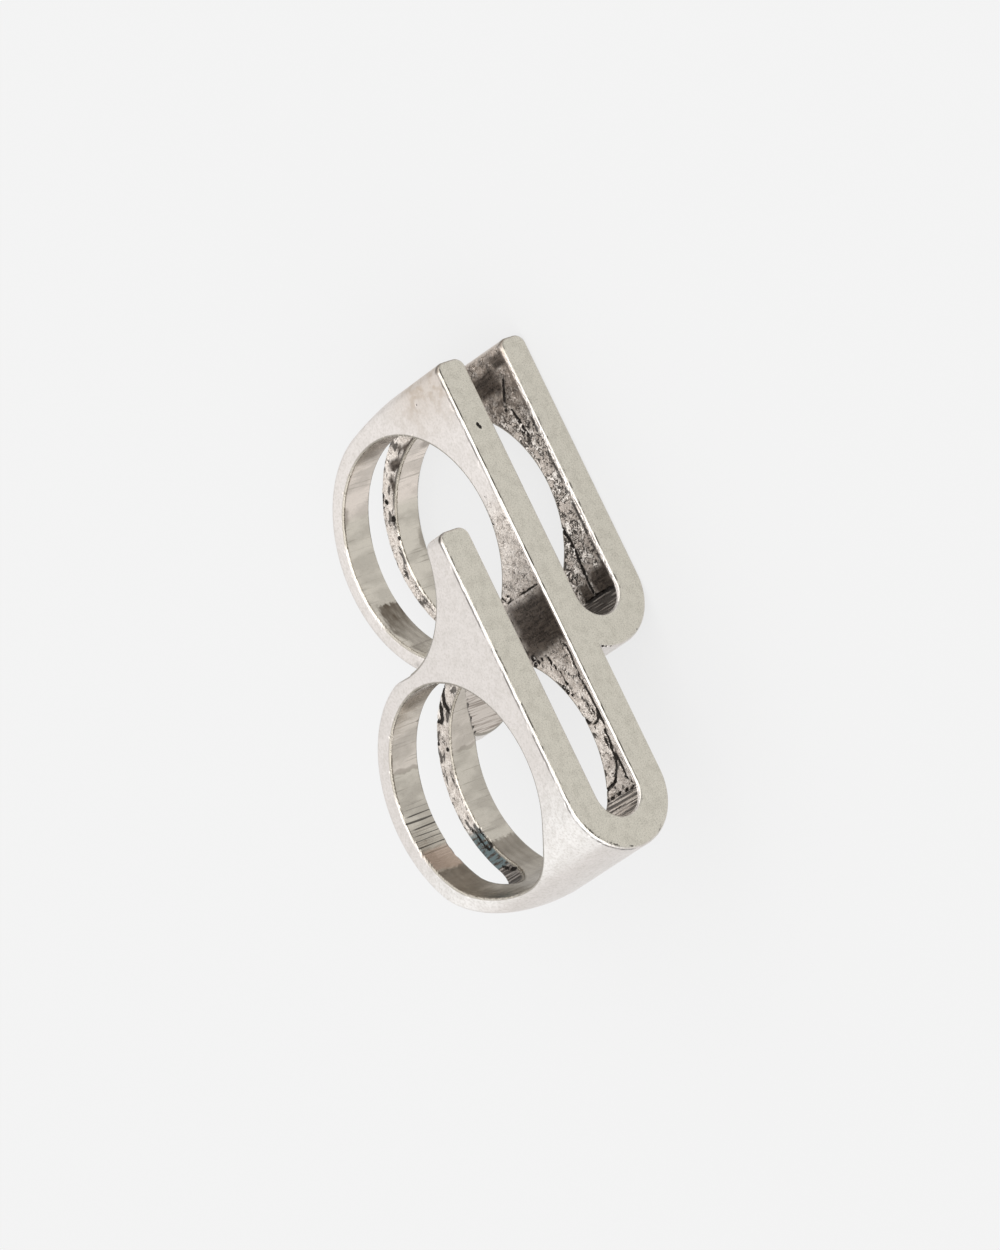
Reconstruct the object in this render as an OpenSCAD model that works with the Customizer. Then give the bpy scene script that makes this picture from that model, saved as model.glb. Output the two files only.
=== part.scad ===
// Two-finger ring, one casting.
// Drawn with the bars along X, the finger holes along Y and the flat face up at z = 0,
// then laid down on its side as it rests.

/* [Bars of the face] */
// Width of the middle bar, shared by both U shapes (mm)
middle_bar = 2.7; // [1.5:0.05:5]
// Width of the right bar (mm)
right_bar = 2.4; // [1.5:0.05:5]
// Width of the left bar (mm)
left_bar = 2.8; // [1.5:0.05:5]
// Slot between the middle and right bars (mm)
right_slot = 3.95; // [2:0.05:8]
// Slot between the left and middle bars (mm)
left_slot = 4; // [2:0.05:8]
// Radius of the tip corners, seen from above the face (mm)
tip_corner = 0.8; // [0.1:0.05:1.1]

/* [Lengths along the bars] */
// Tip of the middle bar (mm)
middle_tip = -0.1; // [-2:0.05:0.4]
// Tip of the right bar (mm)
right_tip = -0.4; // [-2:0.05:0]
// Tip of the left bar (mm)
left_tip = 11.95; // [9:0.05:16]
// Where the outer turn of the first U starts (mm)
first_turn = 19.75; // [18:0.05:23]
// Where the outer turn of the second U starts (mm)
second_turn = 33.95; // [32.5:0.05:35]
// Where the slot end of the second U starts (mm)
second_slot_turn = 34.15; // [31:0.05:35.5]

/* [Finger holes] */
// Diameter of the first finger hole (mm)
first_bore = 17.3; // [14:0.1:18.6]
// Diameter of the second finger hole (mm)
second_bore = 16.75; // [14:0.05:18]
// First hole centre, from the bar tips (mm)
first_centre = 10.7; // [10.4:0.05:11.3]
// Second hole centre, from the bar tips (mm)
second_centre = 29.05; // [28.4:0.05:30]
// Depth of both hole centres below the face (mm)
hole_depth = 10.7; // [9.5:0.05:11.5]

/* [Bands] */
// Height from the face to the foot of the bands (mm)
height = 20.7; // [20:0.05:22]
// Outer radius of the first band (mm)
first_band = 10.2; // [9.4:0.05:10.4]
// Outer radius of the second band (mm)
second_band = 9.9; // [9.1:0.05:11]
// How far the tip side runs straight down from the face (mm)
straight_side = 8; // [2:0.1:10]
// How far the right wall's band sits nearer the tip than its finger hole (mm)
right_band_shift = 0.5; // [0:0.05:0.8]
// How much higher the foot of the right wall's band is (mm)
right_band_lift = 0.1; // [0:0.05:0.6]

/* [Lean of the walls] */
// Inward lean of the right wall (degrees)
right_lean = 4; // [0:0.05:6]
// Inward lean of the left wall (degrees)
left_lean = 2.2; // [0:0.05:6]
// Outward lean of the first U's end (degrees)
first_flare = 0.9; // [0:0.1:4]
// Outward lean of the second U's end (degrees)
second_flare = 1.2; // [0:0.1:4]

/* [Hidden] */
$fn = 96;
laid_down = true;
half = middle_bar / 2;
right_in = half + right_slot;
right_out = right_in + right_bar;
left_in = -half - left_slot;
left_out = left_in - left_bar;
// Cutting shapes run this far past what they cut, and a turn this far into its bars.
past = 5;
turn_overlap = 2;
deep = height + past;
wide = right_out - left_out + 2 * past;
// The second U's end goes out along this line as it goes down, until it meets the band's circle.
end_top = second_turn + (half - left_out) / 2 / cos(second_flare);
end_down = [sin(second_flare), -cos(second_flare)];
to_band = [second_centre - end_top, second_band - height];
end_run = to_band * end_down
  + sqrt(max(0, pow(second_band, 2) - to_band * to_band + pow(to_band * end_down, 2)));
far_end = min(second_centre + second_band, end_top + end_run * end_down[0]);
// Laid on its right side the leaning outer face is flat on the ground, the face of the
// bars looks along -Y and the finger holes stand up.
lie = 90 - right_lean;
long_middle = (right_tip + far_end) / 2;
face_edge = -right_out * cos(lie);
foot_edge = height * sin(lie) - (left_out + height * tan(left_lean)) * cos(lie);

// A bar seen from above, its tip corners rounded.
module bar(tip, end, low, high) {
  r = min(tip_corner, (high - low) / 2);
  translate([tip + r, low]) square([end - tip - r, high - low]);
  translate([tip, low + r]) square([2 * r, high - low - 2 * r]);
  for (y = [low + r, high - r]) translate([tip + r, y]) circle(r = r);
}

// The turn that joins two bars, without its slot. It leans outward as it goes down.
module turn(x, low, high, flare) {
  translate([x, 0, 0]) rotate([0, -flare, 0]) translate([0, 0, -deep]) linear_extrude(deep + past) {
    translate([-turn_overlap, low]) square([turn_overlap, high - low]);
    translate([0, (low + high) / 2]) circle(d = high - low);
  }
}

// A slot seen from above, open at the tips and round at its end.
module slot(x, low, high) {
  translate([-past, low]) square([x + past, high - low]);
  translate([x, (low + high) / 2]) circle(d = high - low);
}

// Side outlines: X across, Y up. The tip side runs straight down, then on to the round band.
module first_outline(tip, x, foot) {
  z = first_band - foot;
  away = [x - tip, z + straight_side];
  tangent = atan2(away[1], away[0]) + acos(first_band / norm(away));
  round_band(x, first_band, foot);
  polygon([[tip, 0], [tip, -straight_side], [x - first_band * cos(tangent), z - first_band * sin(tangent)],
           [x, z], [second_centre, z], [second_centre, 0]]);
}

module second_outline() {
  round_band(second_centre, second_band, height);
  translate([second_centre - second_band, second_band - height])
    square([2 * second_band, height - second_band]);
}

// Over the first finger the left bar runs on above the hole. It has no band below that hole:
// from the hole's side it drops straight down to the second band.
module left_outline() {
  hole_side = first_centre + first_bore / 2;
  translate([left_tip - past, -hole_depth]) square([second_centre - left_tip + past, hole_depth]);
  intersection() {
    second_outline();
    translate([hole_side, -height]) square([far_end, height]);
  }
}

// The lower half of a band's round outline.
module round_band(x, r, foot) {
  intersection() {
    translate([x, r - foot]) circle(r = r);
    translate([x - r, -foot]) square([2 * r, r]);
  }
}

// A side outline carried across the whole width, and a plan carried down from the face.
module across() {
  translate([0, wide / 2, 0]) rotate([90, 0, 0]) linear_extrude(wide) children();
}

module down() {
  translate([0, 0, -deep]) linear_extrude(deep + past) children();
}

// Leans what it holds inward about an outer edge of the face.
module lean_right() {
  translate([0, right_out, 0]) rotate([-right_lean, 0, 0]) translate([0, -right_out, 0]) children();
}

module lean_left() {
  translate([0, left_out, 0]) rotate([left_lean, 0, 0]) translate([0, -left_out, 0]) children();
}

// Everything beyond a leaning plane.
module beyond_right(y) {
  lean_right() translate([-past, y, -2 * deep]) cube([far_end + 2 * past, wide, 3 * deep]);
}

module beyond_left(y) {
  lean_left() translate([-past, y - wide, -2 * deep]) cube([far_end + 2 * past, wide, 3 * deep]);
}

module finger_hole(x, d) {
  translate([x, wide / 2, -hole_depth]) rotate([90, 0, 0]) cylinder(d = d, h = wide);
}

// The middle wall carries both bands.
module middle_wall() {
  intersection() {
    down() bar(middle_tip, second_turn, -half, half);
    across() { first_outline(middle_tip, first_centre, height); second_outline(); }
  }
}

// The right wall and the turn that joins it to the middle wall.
module first_u() {
  intersection() {
    union() {
      lean_right() down() bar(right_tip, first_turn, right_in, right_out);
      difference() {
        turn(first_turn, -half, right_out, first_flare);
        beyond_right(right_out);
        difference() {
          down() slot(first_turn, half, right_in);
          beyond_right(right_in);
        }
      }
    }
    across() {
      first_outline(right_tip, first_centre - right_band_shift, height - right_band_lift);
      second_outline();
    }
  }
}

// The left wall and the turn that joins it to the middle wall.
module second_u() {
  intersection() {
    union() {
      lean_left() down() bar(left_tip, second_turn, left_out, left_in);
      difference() {
        turn(second_turn, left_out, half, second_flare);
        beyond_left(left_out);
        difference() {
          down() slot(second_slot_turn, left_in, -half);
          beyond_left(left_in);
        }
      }
    }
    across() left_outline();
  }
}

// The whole casting in its drawn position.
module casting() {
  difference() {
    union() {
      middle_wall();
      first_u();
      second_u();
    }
    finger_hole(first_centre, first_bore);
    finger_hole(second_centre, second_bore);
  }
}

// At rest: the origin is under the middle of its box, on the ground.
module at_rest() {
  translate([long_middle, -(face_edge + foot_edge) / 2, right_out * sin(lie)])
    rotate([0, 0, 180]) rotate([-lie, 0, 0]) children();
}

module double_ring() {
  color([0.78, 0.77, 0.74])
    if (laid_down) at_rest() casting();
    else casting();
}

double_ring();
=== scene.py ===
import math

import bpy
from mathutils import Euler, Matrix, Vector


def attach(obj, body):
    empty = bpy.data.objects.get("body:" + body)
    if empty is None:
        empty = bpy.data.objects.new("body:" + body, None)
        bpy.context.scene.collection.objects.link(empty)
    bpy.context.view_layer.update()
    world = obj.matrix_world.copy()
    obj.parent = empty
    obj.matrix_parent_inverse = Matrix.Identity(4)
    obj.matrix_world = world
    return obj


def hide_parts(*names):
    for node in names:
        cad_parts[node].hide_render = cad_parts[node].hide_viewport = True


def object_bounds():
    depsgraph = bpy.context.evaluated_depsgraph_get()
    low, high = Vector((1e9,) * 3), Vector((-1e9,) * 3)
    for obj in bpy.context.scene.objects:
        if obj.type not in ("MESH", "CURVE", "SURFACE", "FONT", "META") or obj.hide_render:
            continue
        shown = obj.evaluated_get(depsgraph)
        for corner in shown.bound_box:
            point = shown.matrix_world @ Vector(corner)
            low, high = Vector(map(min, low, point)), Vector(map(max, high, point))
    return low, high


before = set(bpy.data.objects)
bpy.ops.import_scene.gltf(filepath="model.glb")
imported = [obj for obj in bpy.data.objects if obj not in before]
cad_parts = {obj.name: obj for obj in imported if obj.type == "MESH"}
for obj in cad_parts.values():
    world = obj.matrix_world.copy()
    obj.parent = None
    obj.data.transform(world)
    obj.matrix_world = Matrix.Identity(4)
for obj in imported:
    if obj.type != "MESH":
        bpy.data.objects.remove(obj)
cadLow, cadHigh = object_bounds()
print("frame loaded")

# Sizes of the casting in mm, drawn with its bars along X, finger holes along Y and flat face up at z = 0
ringSizes = {
    "Middle bar": 2.7,
    "Right bar": 2.4,
    "Left bar": 2.8,
    "Right slot": 3.95,
    "Left slot": 4.0,
    "Tip corner": 0.8,
    "Middle tip": -0.1,
    "Right tip": -0.4,
    "Left tip": 11.95,
    "First turn": 19.75,
    "Second turn": 33.95,
    "Second slot turn": 34.15,
    "First bore": 17.3,
    "Second bore": 16.75,
    "First centre": 10.7,
    "Second centre": 29.05,
    "Hole depth": 10.7,
    "Height": 20.7,
    "First band": 10.2,
    "Second band": 9.9,
    "Straight side": 8.0,
    "Right band shift": 0.5,
    "Right band lift": 0.1,
    "Right lean": 4.0,
    "Left lean": 2.2,
    "First flare": 0.9,
    "Second flare": 1.2,
    "Edge round": 0.28,
    "Bore edge round": 0.2,
}
# How the mesh is made, in mm. A pair gives the depths under a side between which the mesh starts to be dense
meshing = {
    "voxel": 0.12,
    "adaptivity": 0.02,
    "threshold": 0.5,
    "softness": 0.25,
    "margin": 0.6,
    "passes": 3,
    "step": 0.02,
    "leastSlope": 0.05,
    "seedScale": 2.5,
    "seedRelief": 0.12,
    "denseBore": (-0.5, -0.4),
    "denseEdge": (-0.55, -0.45),
    "densePit": (-0.4, -0.3),
    "wallSplit": 1.0,
    "bandOverlap": 0.5,
    "bodyOverlap": 6.0,
}
mm = 0.001


class Wire:  # a number in a node tree, so that its formulas can be written as formulas
    def __init__(self, tree, socket):
        self.tree = tree
        self.socket = socket

    def math(self, operation, *others):
        return mathNode(self.tree, operation, self, *others)

    def __radd__(self, other):
        return self.math('ADD', other)

    def __rmul__(self, other):
        return self.math('MULTIPLY', other)

    def __rsub__(self, other):
        return mathNode(self.tree, 'SUBTRACT', other, self)

    def __neg__(self):
        return self.math('MULTIPLY', -1.0)


for sign, operation in {"__add__": 'ADD', "__sub__": 'SUBTRACT', "__mul__": 'MULTIPLY',
                        "__truediv__": 'DIVIDE', "__gt__": 'GREATER_THAN', "__lt__": 'LESS_THAN'}.items():
    setattr(Wire, sign, lambda self, other, operation=operation: self.math(operation, other))


def feed(tree, socket, value):
    if isinstance(value, Wire):
        value = value.socket
    if isinstance(value, bpy.types.NodeSocket):
        tree.links.new(value, socket)
    else:
        socket.default_value = value


def addNode(tree, kind, values=None, **settings):
    node = tree.nodes.new(kind)
    for name, value in settings.items():
        setattr(node, name, value)
    for name, value in (values or {}).items():
        feed(tree, node.inputs[name], value)
    return node


def mathNode(tree, operation, *parts):
    node = addNode(tree, 'ShaderNodeMath', operation=operation)
    for place, part in enumerate(parts):
        feed(tree, node.inputs[place], part)
    return Wire(tree, node.outputs[0])


def vectorNode(tree, operation, *parts, out=0):
    node = addNode(tree, 'ShaderNodeVectorMath', operation=operation)
    for place, part in enumerate(parts):
        feed(tree, node.inputs[place], part)
    return node.outputs[out]


def least(first, *others):
    for other in others:
        first = first.math('MINIMUM', other)
    return first


def most(first, *others):
    for other in others:
        first = first.math('MAXIMUM', other)
    return first


def distance(*parts):
    total = parts[0] * parts[0]
    for part in parts[1:]:
        total = total + part * part
    return total.math('SQRT')


def roundMeet(radius, *sides):  # the solid inside every side, with its edges rounded
    over = [most(side + radius, 0.0) for side in sides]
    return least(most(*sides), -radius) + distance(*over)


def blend(amount, under, over):
    return under + amount * (over - under)


def byWall(isRight, isLeft, middle, right, left):  # the value that holds on a point's own wall
    return middle + isRight * (right - middle) + isLeft * (left - middle)


def awayFrom(value, middle):
    return (value - middle).math('ABSOLUTE')


def sway(value, amount):  # a noise from 0 to 1 as a push either way
    return (value - 0.5) * amount


def ramp(value, low, high):  # 0 below low, 1 above high, smooth between; low may be the greater
    node = addNode(value.tree, 'ShaderNodeMapRange', {"Value": value, "From Min": low, "From Max": high},
                   interpolation_type='SMOOTHSTEP')
    return Wire(value.tree, node.outputs["Result"])


def fade(value, low, high, strength):  # a ramp that ends at this strength
    return ramp(value, low, high) * strength


def between(value, start, whole, stillWhole, end):  # up from start to whole, and down again to end
    return least(ramp(value, start, whole), ramp(value, end, stillWhole))


def noise(tree, point, scale, detail=2.0, rough=0.5, colour=False):
    node = addNode(tree, 'ShaderNodeTexNoise', {"Vector": point, "Scale": scale, "Detail": detail,
                                                "Roughness": rough})
    return node.outputs["Color"] if colour else Wire(tree, node.outputs[0])


def stretched(tree, point, sizes):
    return vectorNode(tree, 'MULTIPLY', point, sizes)


def warped(tree, point, scale, amount):  # the point moved about by noise
    push = vectorNode(tree, 'SUBTRACT', noise(tree, point, scale, 1.0, colour=True), (0.5, 0.5, 0.5))
    return vectorNode(tree, 'ADD', point, stretched(tree, push, (amount, amount, amount)))


def splitVector(tree, vector):
    node = addNode(tree, 'ShaderNodeSeparateXYZ', {0: vector})
    return [Wire(tree, out) for out in node.outputs]


def joinVector(tree, *parts):
    node = addNode(tree, 'ShaderNodeCombineXYZ')
    for place, part in enumerate(parts):
        feed(tree, node.inputs[place], part)
    return node.outputs[0]


socketKinds = {"float": 'NodeSocketFloat', "vector": 'NodeSocketVector', "geometry": 'NodeSocketGeometry',
               "material": 'NodeSocketMaterial'}


def newGroup(name, kind, inputs, outputs):
    tree = bpy.data.node_groups.new(name, kind)
    for label, value in inputs.items():
        if value in socketKinds:
            tree.interface.new_socket(name=label, in_out='INPUT', socket_type=socketKinds[value])
        else:
            socket = tree.interface.new_socket(name=label, in_out='INPUT', socket_type=socketKinds["float"])
            socket.default_value = value
    for label, value in outputs.items():
        tree.interface.new_socket(name=label, in_out='OUTPUT', socket_type=socketKinds[value])
    given = tree.nodes.new('NodeGroupInput')
    taken = tree.nodes.new('NodeGroupOutput')
    wires = {label: Wire(tree, given.outputs[label]) for label in inputs}
    return tree, wires, taken


def useGroup(tree, group, values):
    node = addNode(tree, 'GeometryNodeGroup' if tree.bl_idname == 'GeometryNodeTree' else 'ShaderNodeGroup',
                   node_tree=group)
    for name, value in values.items():
        feed(tree, node.inputs[name], value)
    return node


# Relief of the raw slot sides, in mm. A pair says where a thing is nil and where it is whole, and a warp is
# its scale and reach
rawSurface = {
    "lumps": 0.13,
    "lumpMiddle": 0.42,
    "crevices": 0.08,
    "grain": 0.03,
    "grainScale": 6.0,
    "creaseDepth": 0.12,
    "creaseWidth": 0.16,
    "creaseWarp": (2.0, 0.08),
    "pitDepth": 0.8,
    "start": (10.0, 17.5),  # where it starts in the second slot: near the face, and lower down
    "startDown": (6.0, 9.0),
    "startNoise": 1.5,
    "startRagged": 3.0,
    "startSoft": (1.0, 4.0),
    "nearSlot": (0.4, 0.1),
    "belowFace": (0.28, 0.7),
    "fromBore": (-0.12, -0.4),
}
# Texture of the raw metal. A noise is its scale, detail and roughness, and a pair of strengths is for the
# middle wall and the right wall
castTexture = {
    "rightFrom": 2.5,
    "rightDown": (-11.5, -9.0),
    "patches": (0.8, 2.0),
    "patchRange": (0.48, 0.60),
    "rightPatches": 0.9,
    "lumps": (1.8, 2.5, 0.6),
    "lumpWarp": (1.6, 0.5),
    "creviceMiddle": 0.5,
    "creviceRange": (0.028, 0.004),
    "creviceWider": 0.010,
    "worms": (2.5, 1.0),
    "wormWarp": (2.6, 0.35),
    "wormMiddle": 0.47,
    "wormRange": (0.022, 0.0),
    "wormStrength": (0.35, 0.5),
    "ribs": (1.0, 2.0),
    "ribStretch": (6.5, 6.5, 0.25),
    "endsAlong": (0.15, 0.3),
    "endsCalm": 0.8,
    "skinCalm": 0.85,
}
# Folds that the metal left on the slot sides as it cooled: x and z of their points in mm
middleCreases = [
    [(17.2, -4.8), (17.85, -4.5), (17.75, -3.6), (17.8, -2.3), (17.85, -0.5)],
    [(17.3, -4.2), (17.6, -3.8)],
    [(22.6, -0.7), (23.4, -0.5), (24.1, -0.63), (25.05, -0.67), (25.6, -0.71), (26.4, -0.59), (27.2, -0.57),
     (28.0, -0.45), (28.7, -0.59), (29.3, -0.5), (29.9, -0.8), (30.5, -0.77), (31.2, -0.65), (31.9, -0.74),
     (32.6, -0.78), (33.4, -0.82), (34.2, -0.5)],
    [(22.6, -3.1), (23.3, -2.9), (23.8, -2.7), (24.3, -2.5), (24.9, -2.4), (25.3, -2.3)],
    [(26.7, -1.43), (27.3, -1.31), (27.8, -1.14), (28.2, -0.92), (28.6, -0.8)],
    [(28.1, -2.35), (28.3, -2.05), (28.6, -2.08), (28.8, -1.55), (28.8, -0.95)],
    [(30.2, -1.2), (31.1, -1.1), (31.9, -1.05), (32.4, -1.3), (32.9, -1.8), (33.3, -2.1), (33.5, -2.8),
     (33.6, -3.5)],
    [(34.4, -0.5), (34.3, -1.5), (34.25, -2.6), (34.3, -3.9)],
    [(20.7, -16.4), (21.2, -16.6), (22.3, -17.1), (22.6, -17.5)],
    [(21.2, -17.3), (21.9, -17.9), (22.4, -17.7)],
    [(20.4, -15.4), (20.9, -15.9), (21.6, -16.2), (22.2, -16.1)],
    [(23.2, -19.0), (23.8, -18.9)],
    [(30.6, -19.9), (31.3, -19.4), (32.2, -19.3), (32.8, -18.8)],
    [(31.0, -18.9), (31.9, -18.6), (32.6, -18.5)],
    [(34.3, -18.4), (34.8, -17.6), (35.0, -16.9)],
]
rightCreases = [
    [(2.3, -1.4), (3.1, -1.9), (4.0, -2.5), (4.5, -2.6)],
    [(4.6, -2.0), (5.4, -1.8), (7.0, -1.6)],
    [(14.3, -2.65), (15.15, -2.5), (16.4, -2.48), (17.7, -2.57), (18.9, -2.66), (19.8, -2.54)],
    [(14.3, -2.65), (14.1, -3.3), (14.6, -3.6)],
    [(19.95, -3.9), (19.92, -2.1), (19.93, -0.5)],
]
# Gas holes and nicks: x, y, z and radius of each in mm
pits = [
    (25.3, -1.35, -2.26, 0.14), (25.42, -1.35, -2.79, 0.2), (25.85, -1.35, -2.56, 0.2),
    (26.2, -1.35, -2.3, 0.12), (22.34, -1.35, -4.46, 0.24), (22.8, -1.35, -4.12, 0.17),
    (22.75, -1.35, -3.64, 0.14), (22.85, -1.35, -4.6, 0.2), (24.55, -1.35, -18.2, 0.17),
    (10.3, -1.35, -1.4, 0.09), (10.9, -1.35, -1.3, 0.07), (11.2, -1.35, -2.0, 0.09), (12.2, -1.35, -2.1, 0.1),
    (1.55, -1.35, -3.95, 0.07), (5.2, -0.12, 0.0, 0.14), (5.42, 0.02, 0.0, 0.14), (12.5, -6.1, 0.0, 0.02),
    (23.0, 3.6, 0.0, 0.0), (23.15, 3.7, 0.0, 0.0), (2.5, -1.3, -0.05, 0.04), (23.98, 1.45, -0.1, 0.16),
    (24.08, 1.8, -0.1, 0.12), (24.17, 2.2, -0.1, 0.1), (24.25, 2.6, -0.08, 0.08), (4.4, 4.0, -18.6, 0.2),
    (5.0, 4.0, -18.5, 0.2), (6.4, 4.0, -18.6, 0.22), (7.9, 3.95, -18.9, 0.18), (28.2, -1.35, -2.4, 0.16),
]
# Smooth dark skins on the slot sides: their middle and half sizes in mm
skins = [
    ((20.3, -1.35, -2.0), (2.3, 0.8, 3.2)),
    ((2.0, 5.1, -3.3), (1.0, 0.8, 1.5)),
    ((0.9, 5.25, -1.2), (0.6, 0.8, 0.7)),
    ((19.0, 5.2, -1.2), (1.2, 0.8, 1.2)),
    ((19.3, 5.2, -3.3), (0.8, 0.8, 0.6)),
    ((33.0, -1.35, -18.8), (2.1, 0.8, 1.8)),
    ((2.3, 4.4, -13.6), (0.25, 0.8, 1.4)),
    ((3.0, 4.2, -15.8), (0.35, 0.8, 0.8)),
    ((4.2, 4.1, -17.0), (0.8, 0.8, 0.35)),
]
# Painted dark reflections in the finger holes: their middle, half sizes in mm and strength
holeReflections = [
    ((2.2, -0.3, -11.4), (1.4, 2.6, 2.8), 0.55),
    ((5.3, -1.3, -17.4), (1.2, 0.7, 0.7), 0.45),
    ((2.6, 6.2, -13.4), (0.5, 0.9, 1.1), 0.55),
    ((7.3, 6.6, -18.7), (0.9, 0.5, 0.5), 0.6),
    ((8.6, 6.1, -19.0), (1.2, 0.4, 0.5), 0.4),
    ((20.8, -6.2, -12.0), (1.0, 2.4, 2.8), 0.55),
    ((24.9, -6.0, -18.0), (0.25, 1.9, 0.4), 0.35),
    ((36.6, -6.5, -15.0), (1.5, 2.4, 2.2), 0.6),
    ((24.9, 0.2, -18.0), (0.25, 1.4, 0.4), 0.3),
]
# How those marks and the finishes fade at their edges: warps that make them ragged, and how far they reach
markEdges = {
    "faceReach": (0.12, 0.02),
    "boreReach": (-0.15, -0.05),
    "skinWarps": ((0.9, 0.9), (3.0, 0.35)),
    "skinReach": (1.15, 0.7),
    "reflectionWarp": (1.4, 0.5),
    "reflectionReach": (1.1, 0.5),
}
# The painted dark reflection low in each finger hole. A pair of strengths is for the first hole and the
# second
lowReflection = {
    "secondFrom": 20.0,
    "start": (12.15, 32.1),
    "leftWall": -4.0,
    "leftWallLater": 0.8,
    "ragged": (3.0, 2.0),
    "raggedReach": 0.9,
    "streaks": (1.0, 2.0),
    "streakStretch": (0.8, 2.6, 0.8),
    "streakStrength": (0.8, 0.4),
    "least": 0.40,
    "atStart": (0.46, 0.17),
    "fades": (5.0, 0.3),
    "soft": (0.0, 0.3),
    "across": (-1.05, -0.6),
    "acrossRagged": 1.2,
    "acrossEnd": 3.0,
    "down": (-12.5, -14.5),
}


def makeChart():  # the folds as edges that lie on the slot sides
    half = ringSizes["Middle bar"] / 2
    lean = math.tan(math.radians(ringSizes["Right lean"]))
    points = []
    edges = []
    for creases, side in ((middleCreases, -half), (rightCreases, half + ringSizes["Right slot"])):
        for crease in creases:
            start = len(points)
            points += [(x, side + (z * lean if side > 0 else 0), z) for x, z in crease]
            edges += [(k, k + 1) for k in range(start, len(points) - 1)]
    chart = bpy.data.meshes.new("ringCasting")
    chart.from_pydata(points, edges, [])
    return chart


def pitDepth(tree, point):  # how deep a point lies inside the nearest gas hole
    depths = [radius - Wire(tree, vectorNode(tree, 'DISTANCE', point, (x, y, z), out=1))
              for x, y, z, radius in pits]
    return most(*depths)


def skinMask(tree, point):  # 1 on the smooth dark skins
    for warp in markEdges["skinWarps"]:
        point = warped(tree, point, *warp)
    masks = []
    for middle, reach in skins:
        away = vectorNode(tree, 'SUBTRACT', point, middle)
        away = vectorNode(tree, 'ABSOLUTE', vectorNode(tree, 'DIVIDE', away, reach))
        masks.append(ramp(most(*splitVector(tree, away)), *markEdges["skinReach"]))
    return most(*masks)


def holeReflectionMask(tree, point):  # how strong the painted dark reflections are in the finger holes
    point = warped(tree, point, *markEdges["reflectionWarp"])
    masks = []
    for middle, reach, strength in holeReflections:
        away = vectorNode(tree, 'DIVIDE', vectorNode(tree, 'SUBTRACT', point, middle), reach)
        far = Wire(tree, vectorNode(tree, 'LENGTH', away, out=1))
        masks.append(ramp(far, *markEdges["reflectionReach"]) * strength)
    return most(*masks)


def lowReflectionMask(tree, point):  # the painted dark reflection that starts with a ragged line low in each finger hole
    x, y, z = splitVector(tree, point)
    isSecond = x > lowReflection["secondFrom"]
    start = blend(isSecond, *lowReflection["start"]) + isSecond * (y < lowReflection["leftWall"]) * lowReflection["leftWallLater"]
    ragged = sway(noise(tree, point, *lowReflection["ragged"]), lowReflection["raggedReach"])
    along = noise(tree, stretched(tree, point, lowReflection["streakStretch"]), *lowReflection["streaks"]) - 0.5
    strength = lowReflection["least"] + ramp(x - start, *lowReflection["fades"]) * blend(isSecond, *lowReflection["atStart"])
    strength = strength + along * blend(isSecond, *lowReflection["streakStrength"])
    inner = ramp(y + along * lowReflection["acrossRagged"], *lowReflection["across"]) * (y < lowReflection["acrossEnd"])
    inner = most(inner, isSecond)
    return ramp(x + ragged - start, *lowReflection["soft"]) * strength * inner * ramp(z, *lowReflection["down"])


def rightWall(y, z):  # 1 on the right wall, down to where its band starts
    return (y > castTexture["rightFrom"]) * ramp(z, *castTexture["rightDown"])


def slotEnds(tree, point):  # 1 on the round ends of the slots, where the metal is ribbed
    x, y, z = splitVector(tree, point)
    start = blend(y > 0.0, ringSizes["Second slot turn"], ringSizes["First turn"])
    return ramp(x - start, *castTexture["endsAlong"])


def castGrain(tree, point, skin):  # lumps from 0 to 1, the dark crevices between them, and where it is calm
    x, y, z = splitVector(tree, point)
    cast = castTexture
    onRight = rightWall(y, z)
    patches = ramp(noise(tree, point, *cast["patches"]), *cast["patchRange"])
    patches = most(patches, onRight * cast["rightPatches"])
    lumps = noise(tree, warped(tree, point, *cast["lumpWarp"]), *cast["lumps"])
    worms = noise(tree, warped(tree, point, *cast["wormWarp"]), *cast["worms"])
    crevices = awayFrom(lumps, cast["creviceMiddle"]) - onRight * cast["creviceWider"]
    crevices = ramp(crevices, *cast["creviceRange"]) * patches
    lines = ramp(awayFrom(worms, cast["wormMiddle"]), *cast["wormRange"]) * patches
    crevices = most(crevices, lines * blend(onRight, *cast["wormStrength"]))
    ribs = noise(tree, stretched(tree, point, cast["ribStretch"]), *cast["ribs"])
    ends = slotEnds(tree, point)
    calm = 1.0 - skin * cast["skinCalm"]
    return blend(ends, lumps, ribs), crevices * calm * (1.0 - ends * cast["endsCalm"]), calm


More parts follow.
